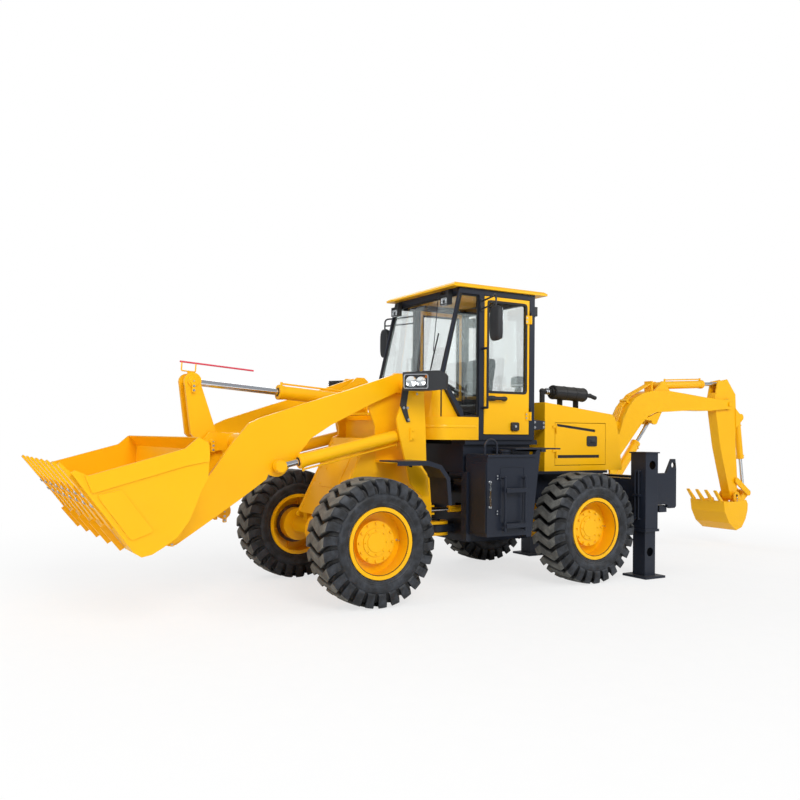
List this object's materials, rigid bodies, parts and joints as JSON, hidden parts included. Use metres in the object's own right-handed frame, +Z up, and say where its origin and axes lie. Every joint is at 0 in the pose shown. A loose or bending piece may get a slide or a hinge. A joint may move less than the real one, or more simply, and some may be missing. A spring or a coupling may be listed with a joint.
{
  "type": "backhoe loader",
  "caption": "Articulated backhoe loader with a Z-bar front loader, hollow cab, vertical stabilizer legs and a side-shifting backhoe",
  "frame": {"origin": "on the ground, at the centre of the bounding box in plan", "axes": "+X forward to the loader bucket, +Y to the machine's left, +Z up"},
  "size_m": [9.9998, 2.292, 3.115],
  "materials": {
    "yellow": "gloss",
    "black": "satin",
    "cast": "matte",
    "glass": "clear",
    "seat_vinyl": "matte",
    "trim": "matte",
    "tyre": "matte",
    "rod": "polished",
    "lamp": "gloss"
  },
  "bodies": {
    "rear_frame": {"rear_chassis": "black", "rear_axle": "yellow", "engine_block": "cast", "cab_frame": "black", "cowl": "yellow", "roof": "yellow", "cab_glass": "glass", "seat": "seat_vinyl", "controls": "trim", "hood": "yellow", "hood_grille": "black", "muffler": "black", "side_tanks": "black", "mirrors": "trim", "lamps": "lamp", "stabilizer_frame": "black"},
    "door_left": {"door_left": "yellow", "door_left_glass": "glass"},
    "door_right": {"door_right": "yellow", "door_right_glass": "glass"},
    "hood_door_left": {"hood_door_left": "yellow"},
    "hood_door_right": {"hood_door_right": "yellow"},
    "front_frame": {"front_chassis": "yellow", "front_axle": "yellow", "fenders": "black", "headlights": "lamp"},
    "wheel_fl": {"tyre_fl": "tyre", "rim_fl": "yellow"},
    "wheel_fr": {"tyre_fr": "tyre", "rim_fr": "yellow"},
    "wheel_rl": {"tyre_rl": "tyre", "rim_rl": "yellow"},
    "wheel_rr": {"tyre_rr": "tyre", "rim_rr": "yellow"},
    "steer_barrel": {"steer_barrel": "yellow"},
    "steer_rod": {"steer_rod": "rod"},
    "arms": {"loader_arms": "yellow"},
    "loader_bucket": {"loader_bucket": "yellow"},
    "rocker": {"rocker": "yellow"},
    "bucket_link": {"bucket_link": "yellow"},
    "lift_barrels": {"lift_barrels": "yellow"},
    "lift_rods": {"lift_rods": "rod"},
    "tilt_barrel": {"tilt_barrel": "yellow"},
    "tilt_rod": {"tilt_rod": "rod"},
    "leg_left": {"leg_left": "black"},
    "leg_right": {"leg_right": "black"},
    "carriage": {"carriage": "black"},
    "swing_post": {"swing_post": "yellow"},
    "boom": {"boom": "yellow", "boom_lines": "yellow"},
    "boom_barrel": {"boom_barrel": "yellow"},
    "boom_rod": {"boom_rod": "rod"},
    "stick": {"stick": "yellow"},
    "stick_barrel": {"stick_barrel": "yellow"},
    "stick_rod": {"stick_rod": "rod"},
    "hoe_barrel": {"hoe_barrel": "yellow"},
    "hoe_rod": {"hoe_rod": "rod"},
    "hoe_lever": {"hoe_lever": "yellow"},
    "hoe_link": {"hoe_link": "yellow"},
    "hoe_bucket": {"hoe_bucket": "yellow"}
  },
  "joints": [
    {"name": "steer", "type": "hinge", "parent": "rear_frame", "child": "front_frame", "pos_m": [0.925, 0, 0.8], "axis": [0, 0, 1], "range_deg": [-30, 30]},
    {"name": "spin_fl", "type": "hinge", "parent": "front_frame", "child": "wheel_fl", "pos_m": [2.245, 0.8785, 0.589], "axis": [0, 1, 0], "continuous": true},
    {"name": "spin_fr", "type": "hinge", "parent": "front_frame", "child": "wheel_fr", "pos_m": [2.245, -0.8785, 0.589], "axis": [0, 1, 0], "continuous": true},
    {"name": "spin_rl", "type": "hinge", "parent": "rear_frame", "child": "wheel_rl", "pos_m": [-0.395, 0.8785, 0.589], "axis": [0, 1, 0], "continuous": true},
    {"name": "spin_rr", "type": "hinge", "parent": "rear_frame", "child": "wheel_rr", "pos_m": [-0.395, -0.8785, 0.589], "axis": [0, 1, 0], "continuous": true},
    {"name": "steer_barrel_swing", "type": "hinge", "parent": "rear_frame", "child": "steer_barrel", "pos_m": [0.505, 0.23, 0.78], "axis": [0, 0, 1], "range_deg": [-14, 14]},
    {"name": "steer_rod_slide", "type": "slide", "parent": "steer_barrel", "child": "steer_rod", "axis": [1, 0, 0], "range_m": [-0.15, 0.15]},
    {"name": "lift", "type": "hinge", "parent": "front_frame", "child": "arms", "pos_m": [1.625, 0, 2.06], "axis": [0, -1, 0], "range_deg": [-13, 58]},
    {"name": "lift_barrel_swing", "type": "hinge", "parent": "front_frame", "child": "lift_barrels", "pos_m": [1.665, 0, 1.578], "axis": [0, -1, 0], "range_deg": [-13.2, 57.17]},
    {"name": "lift_rod_slide", "type": "slide", "parent": "lift_barrels", "child": "lift_rods", "axis": [0.9752, 0, -0.2212], "range_m": [-0.10562, 0.46086]},
    {"name": "bucket_tilt", "type": "hinge", "parent": "arms", "child": "loader_bucket", "pos_m": [3.985, 0, 0.715], "axis": [0, 1, 0], "range_deg": [-4, 140]},
    {"name": "rocker_swing", "type": "hinge", "parent": "arms", "child": "rocker", "pos_m": [3.525, 0, 1.49], "axis": [0, 1, 0], "range_deg": [-38.58, 1.59]},
    {"name": "link_swing", "type": "hinge", "parent": "loader_bucket", "child": "bucket_link", "pos_m": [3.865, 0, 0.9], "axis": [0, -1, 0], "range_deg": [-3.94, 120.76]},
    {"name": "tilt_barrel_swing", "type": "hinge", "parent": "front_frame", "child": "tilt_barrel", "pos_m": [1.925, 0, 1.905], "axis": [0, -1, 0], "range_deg": [-14.7, 63.84]},
    {"name": "tilt_rod_slide", "type": "slide", "parent": "tilt_barrel", "child": "tilt_rod", "axis": [0.9971, 0, 0.0764], "range_m": [-0.37538, 0.01364]},
    {"name": "door_left_swing", "type": "hinge", "parent": "rear_frame", "child": "door_left", "pos_m": [0.148, 0.634, 2.29], "axis": [0, 0, 1], "range_deg": [0, 85]},
    {"name": "door_right_swing", "type": "hinge", "parent": "rear_frame", "child": "door_right", "pos_m": [0.148, -0.634, 2.29], "axis": [0, 0, -1], "range_deg": [0, 85]},
    {"name": "hood_door_left_swing", "type": "hinge", "parent": "rear_frame", "child": "hood_door_left", "pos_m": [-0.323, 0.53, 1.475], "axis": [0, 0, -1], "range_deg": [0, 80]},
    {"name": "hood_door_right_swing", "type": "hinge", "parent": "rear_frame", "child": "hood_door_right", "pos_m": [-0.323, -0.53, 1.475], "axis": [0, 0, 1], "range_deg": [0, 80]},
    {"name": "leg_left_raise", "type": "slide", "parent": "rear_frame", "child": "leg_left", "axis": [0, 0, 1], "range_m": [0, 0.42]},
    {"name": "leg_right_raise", "type": "slide", "parent": "rear_frame", "child": "leg_right", "axis": [0, 0, 1], "range_m": [0, 0.42]},
    {"name": "side_shift", "type": "slide", "parent": "rear_frame", "child": "carriage", "axis": [0, 1, 0], "range_m": [0, 0.9]},
    {"name": "hoe_swing", "type": "hinge", "parent": "carriage", "child": "swing_post", "pos_m": [-1.925, -0.45, 0.9], "axis": [0, 0, -1], "range_deg": [-90, 90]},
    {"name": "boom_raise", "type": "hinge", "parent": "swing_post", "child": "boom", "pos_m": [-2.035, -0.45, 1.23], "axis": [0, 1, 0], "range_deg": [-58, 28]},
    {"name": "boom_barrel_swing", "type": "hinge", "parent": "swing_post", "child": "boom_barrel", "pos_m": [-2.115, -0.45, 0.83], "axis": [0, 1, 0], "range_deg": [-49.9, 24.35]},
    {"name": "boom_rod_slide", "type": "slide", "parent": "boom_barrel", "child": "boom_rod", "axis": [-0.6449, 0, 0.7643], "range_m": [-0.36074, 0.1757]},
    {"name": "stick_out", "type": "hinge", "parent": "boom", "child": "stick", "pos_m": [-4.475, -0.45, 2.045], "axis": [0, 1, 0], "range_deg": [-40, 65]},
    {"name": "stick_barrel_swing", "type": "hinge", "parent": "boom", "child": "stick_barrel", "pos_m": [-3.105, -0.45, 2.275], "axis": [0, 1, 0], "range_deg": [-1.96, 1.4]},
    {"name": "stick_rod_slide", "type": "slide", "parent": "stick_barrel", "child": "stick_rod", "axis": [-0.9986, 0, 0.0533], "range_m": [-0.29637, 0.18354]},
    {"name": "hoe_dump", "type": "hinge", "parent": "stick", "child": "hoe_bucket", "pos_m": [-4.635, -0.45, 0.708], "axis": [0, 1, 0], "range_deg": [-25, 95]},
    {"name": "hoe_lever_swing", "type": "hinge", "parent": "stick", "child": "hoe_lever", "pos_m": [-4.685, -0.45, 0.93], "axis": [0, 1, 0], "range_deg": [-13.39, 49.49]},
    {"name": "hoe_link_swing", "type": "hinge", "parent": "hoe_bucket", "child": "hoe_link", "pos_m": [-4.743, -0.45, 0.56], "axis": [0, 1, 0], "range_deg": [-94.12, 25.14]},
    {"name": "hoe_barrel_swing", "type": "hinge", "parent": "stick", "child": "hoe_barrel", "pos_m": [-4.795, -0.45, 1.86], "axis": [0, 1, 0], "range_deg": [-2.4, 7.74]},
    {"name": "hoe_rod_slide", "type": "slide", "parent": "hoe_barrel", "child": "hoe_rod", "axis": [-0.1414, 0, -0.9899], "range_m": [-0.25171, 0.06845]}
  ],
  "couplings": [
    {"joint": "steer_barrel_swing", "follows": "steer", "ratio": 0.365},
    {"joint": "steer_rod_slide", "follows": "steer", "m_per_rad": -0.227},
    {"joint": "lift_barrel_swing", "follows": "lift", "ratio": 0.977},
    {"joint": "lift_rod_slide", "follows": "lift", "m_per_rad": 0.4523},
    {"joint": "rocker_swing", "follows": "bucket_tilt", "ratio": -0.272},
    {"joint": "link_swing", "follows": "bucket_tilt", "ratio": 0.859},
    {"joint": "tilt_barrel_swing", "follows": "lift", "ratio": 1.092},
    {"joint": "tilt_rod_slide", "follows": "bucket_tilt", "m_per_rad": -0.1524},
    {"joint": "boom_barrel_swing", "follows": "boom_raise", "ratio": 0.8518},
    {"joint": "boom_rod_slide", "follows": "boom_raise", "m_per_rad": 0.3534},
    {"joint": "stick_barrel_swing", "follows": "stick_out", "ratio": -0.0224},
    {"joint": "stick_rod_slide", "follows": "stick_out", "m_per_rad": -0.2586},
    {"joint": "hoe_lever_swing", "follows": "hoe_dump", "ratio": 0.5157},
    {"joint": "hoe_link_swing", "follows": "hoe_dump", "ratio": -0.9855},
    {"joint": "hoe_barrel_swing", "follows": "hoe_dump", "ratio": 0.0762},
    {"joint": "hoe_rod_slide", "follows": "hoe_dump", "m_per_rad": -0.15}
  ]
}
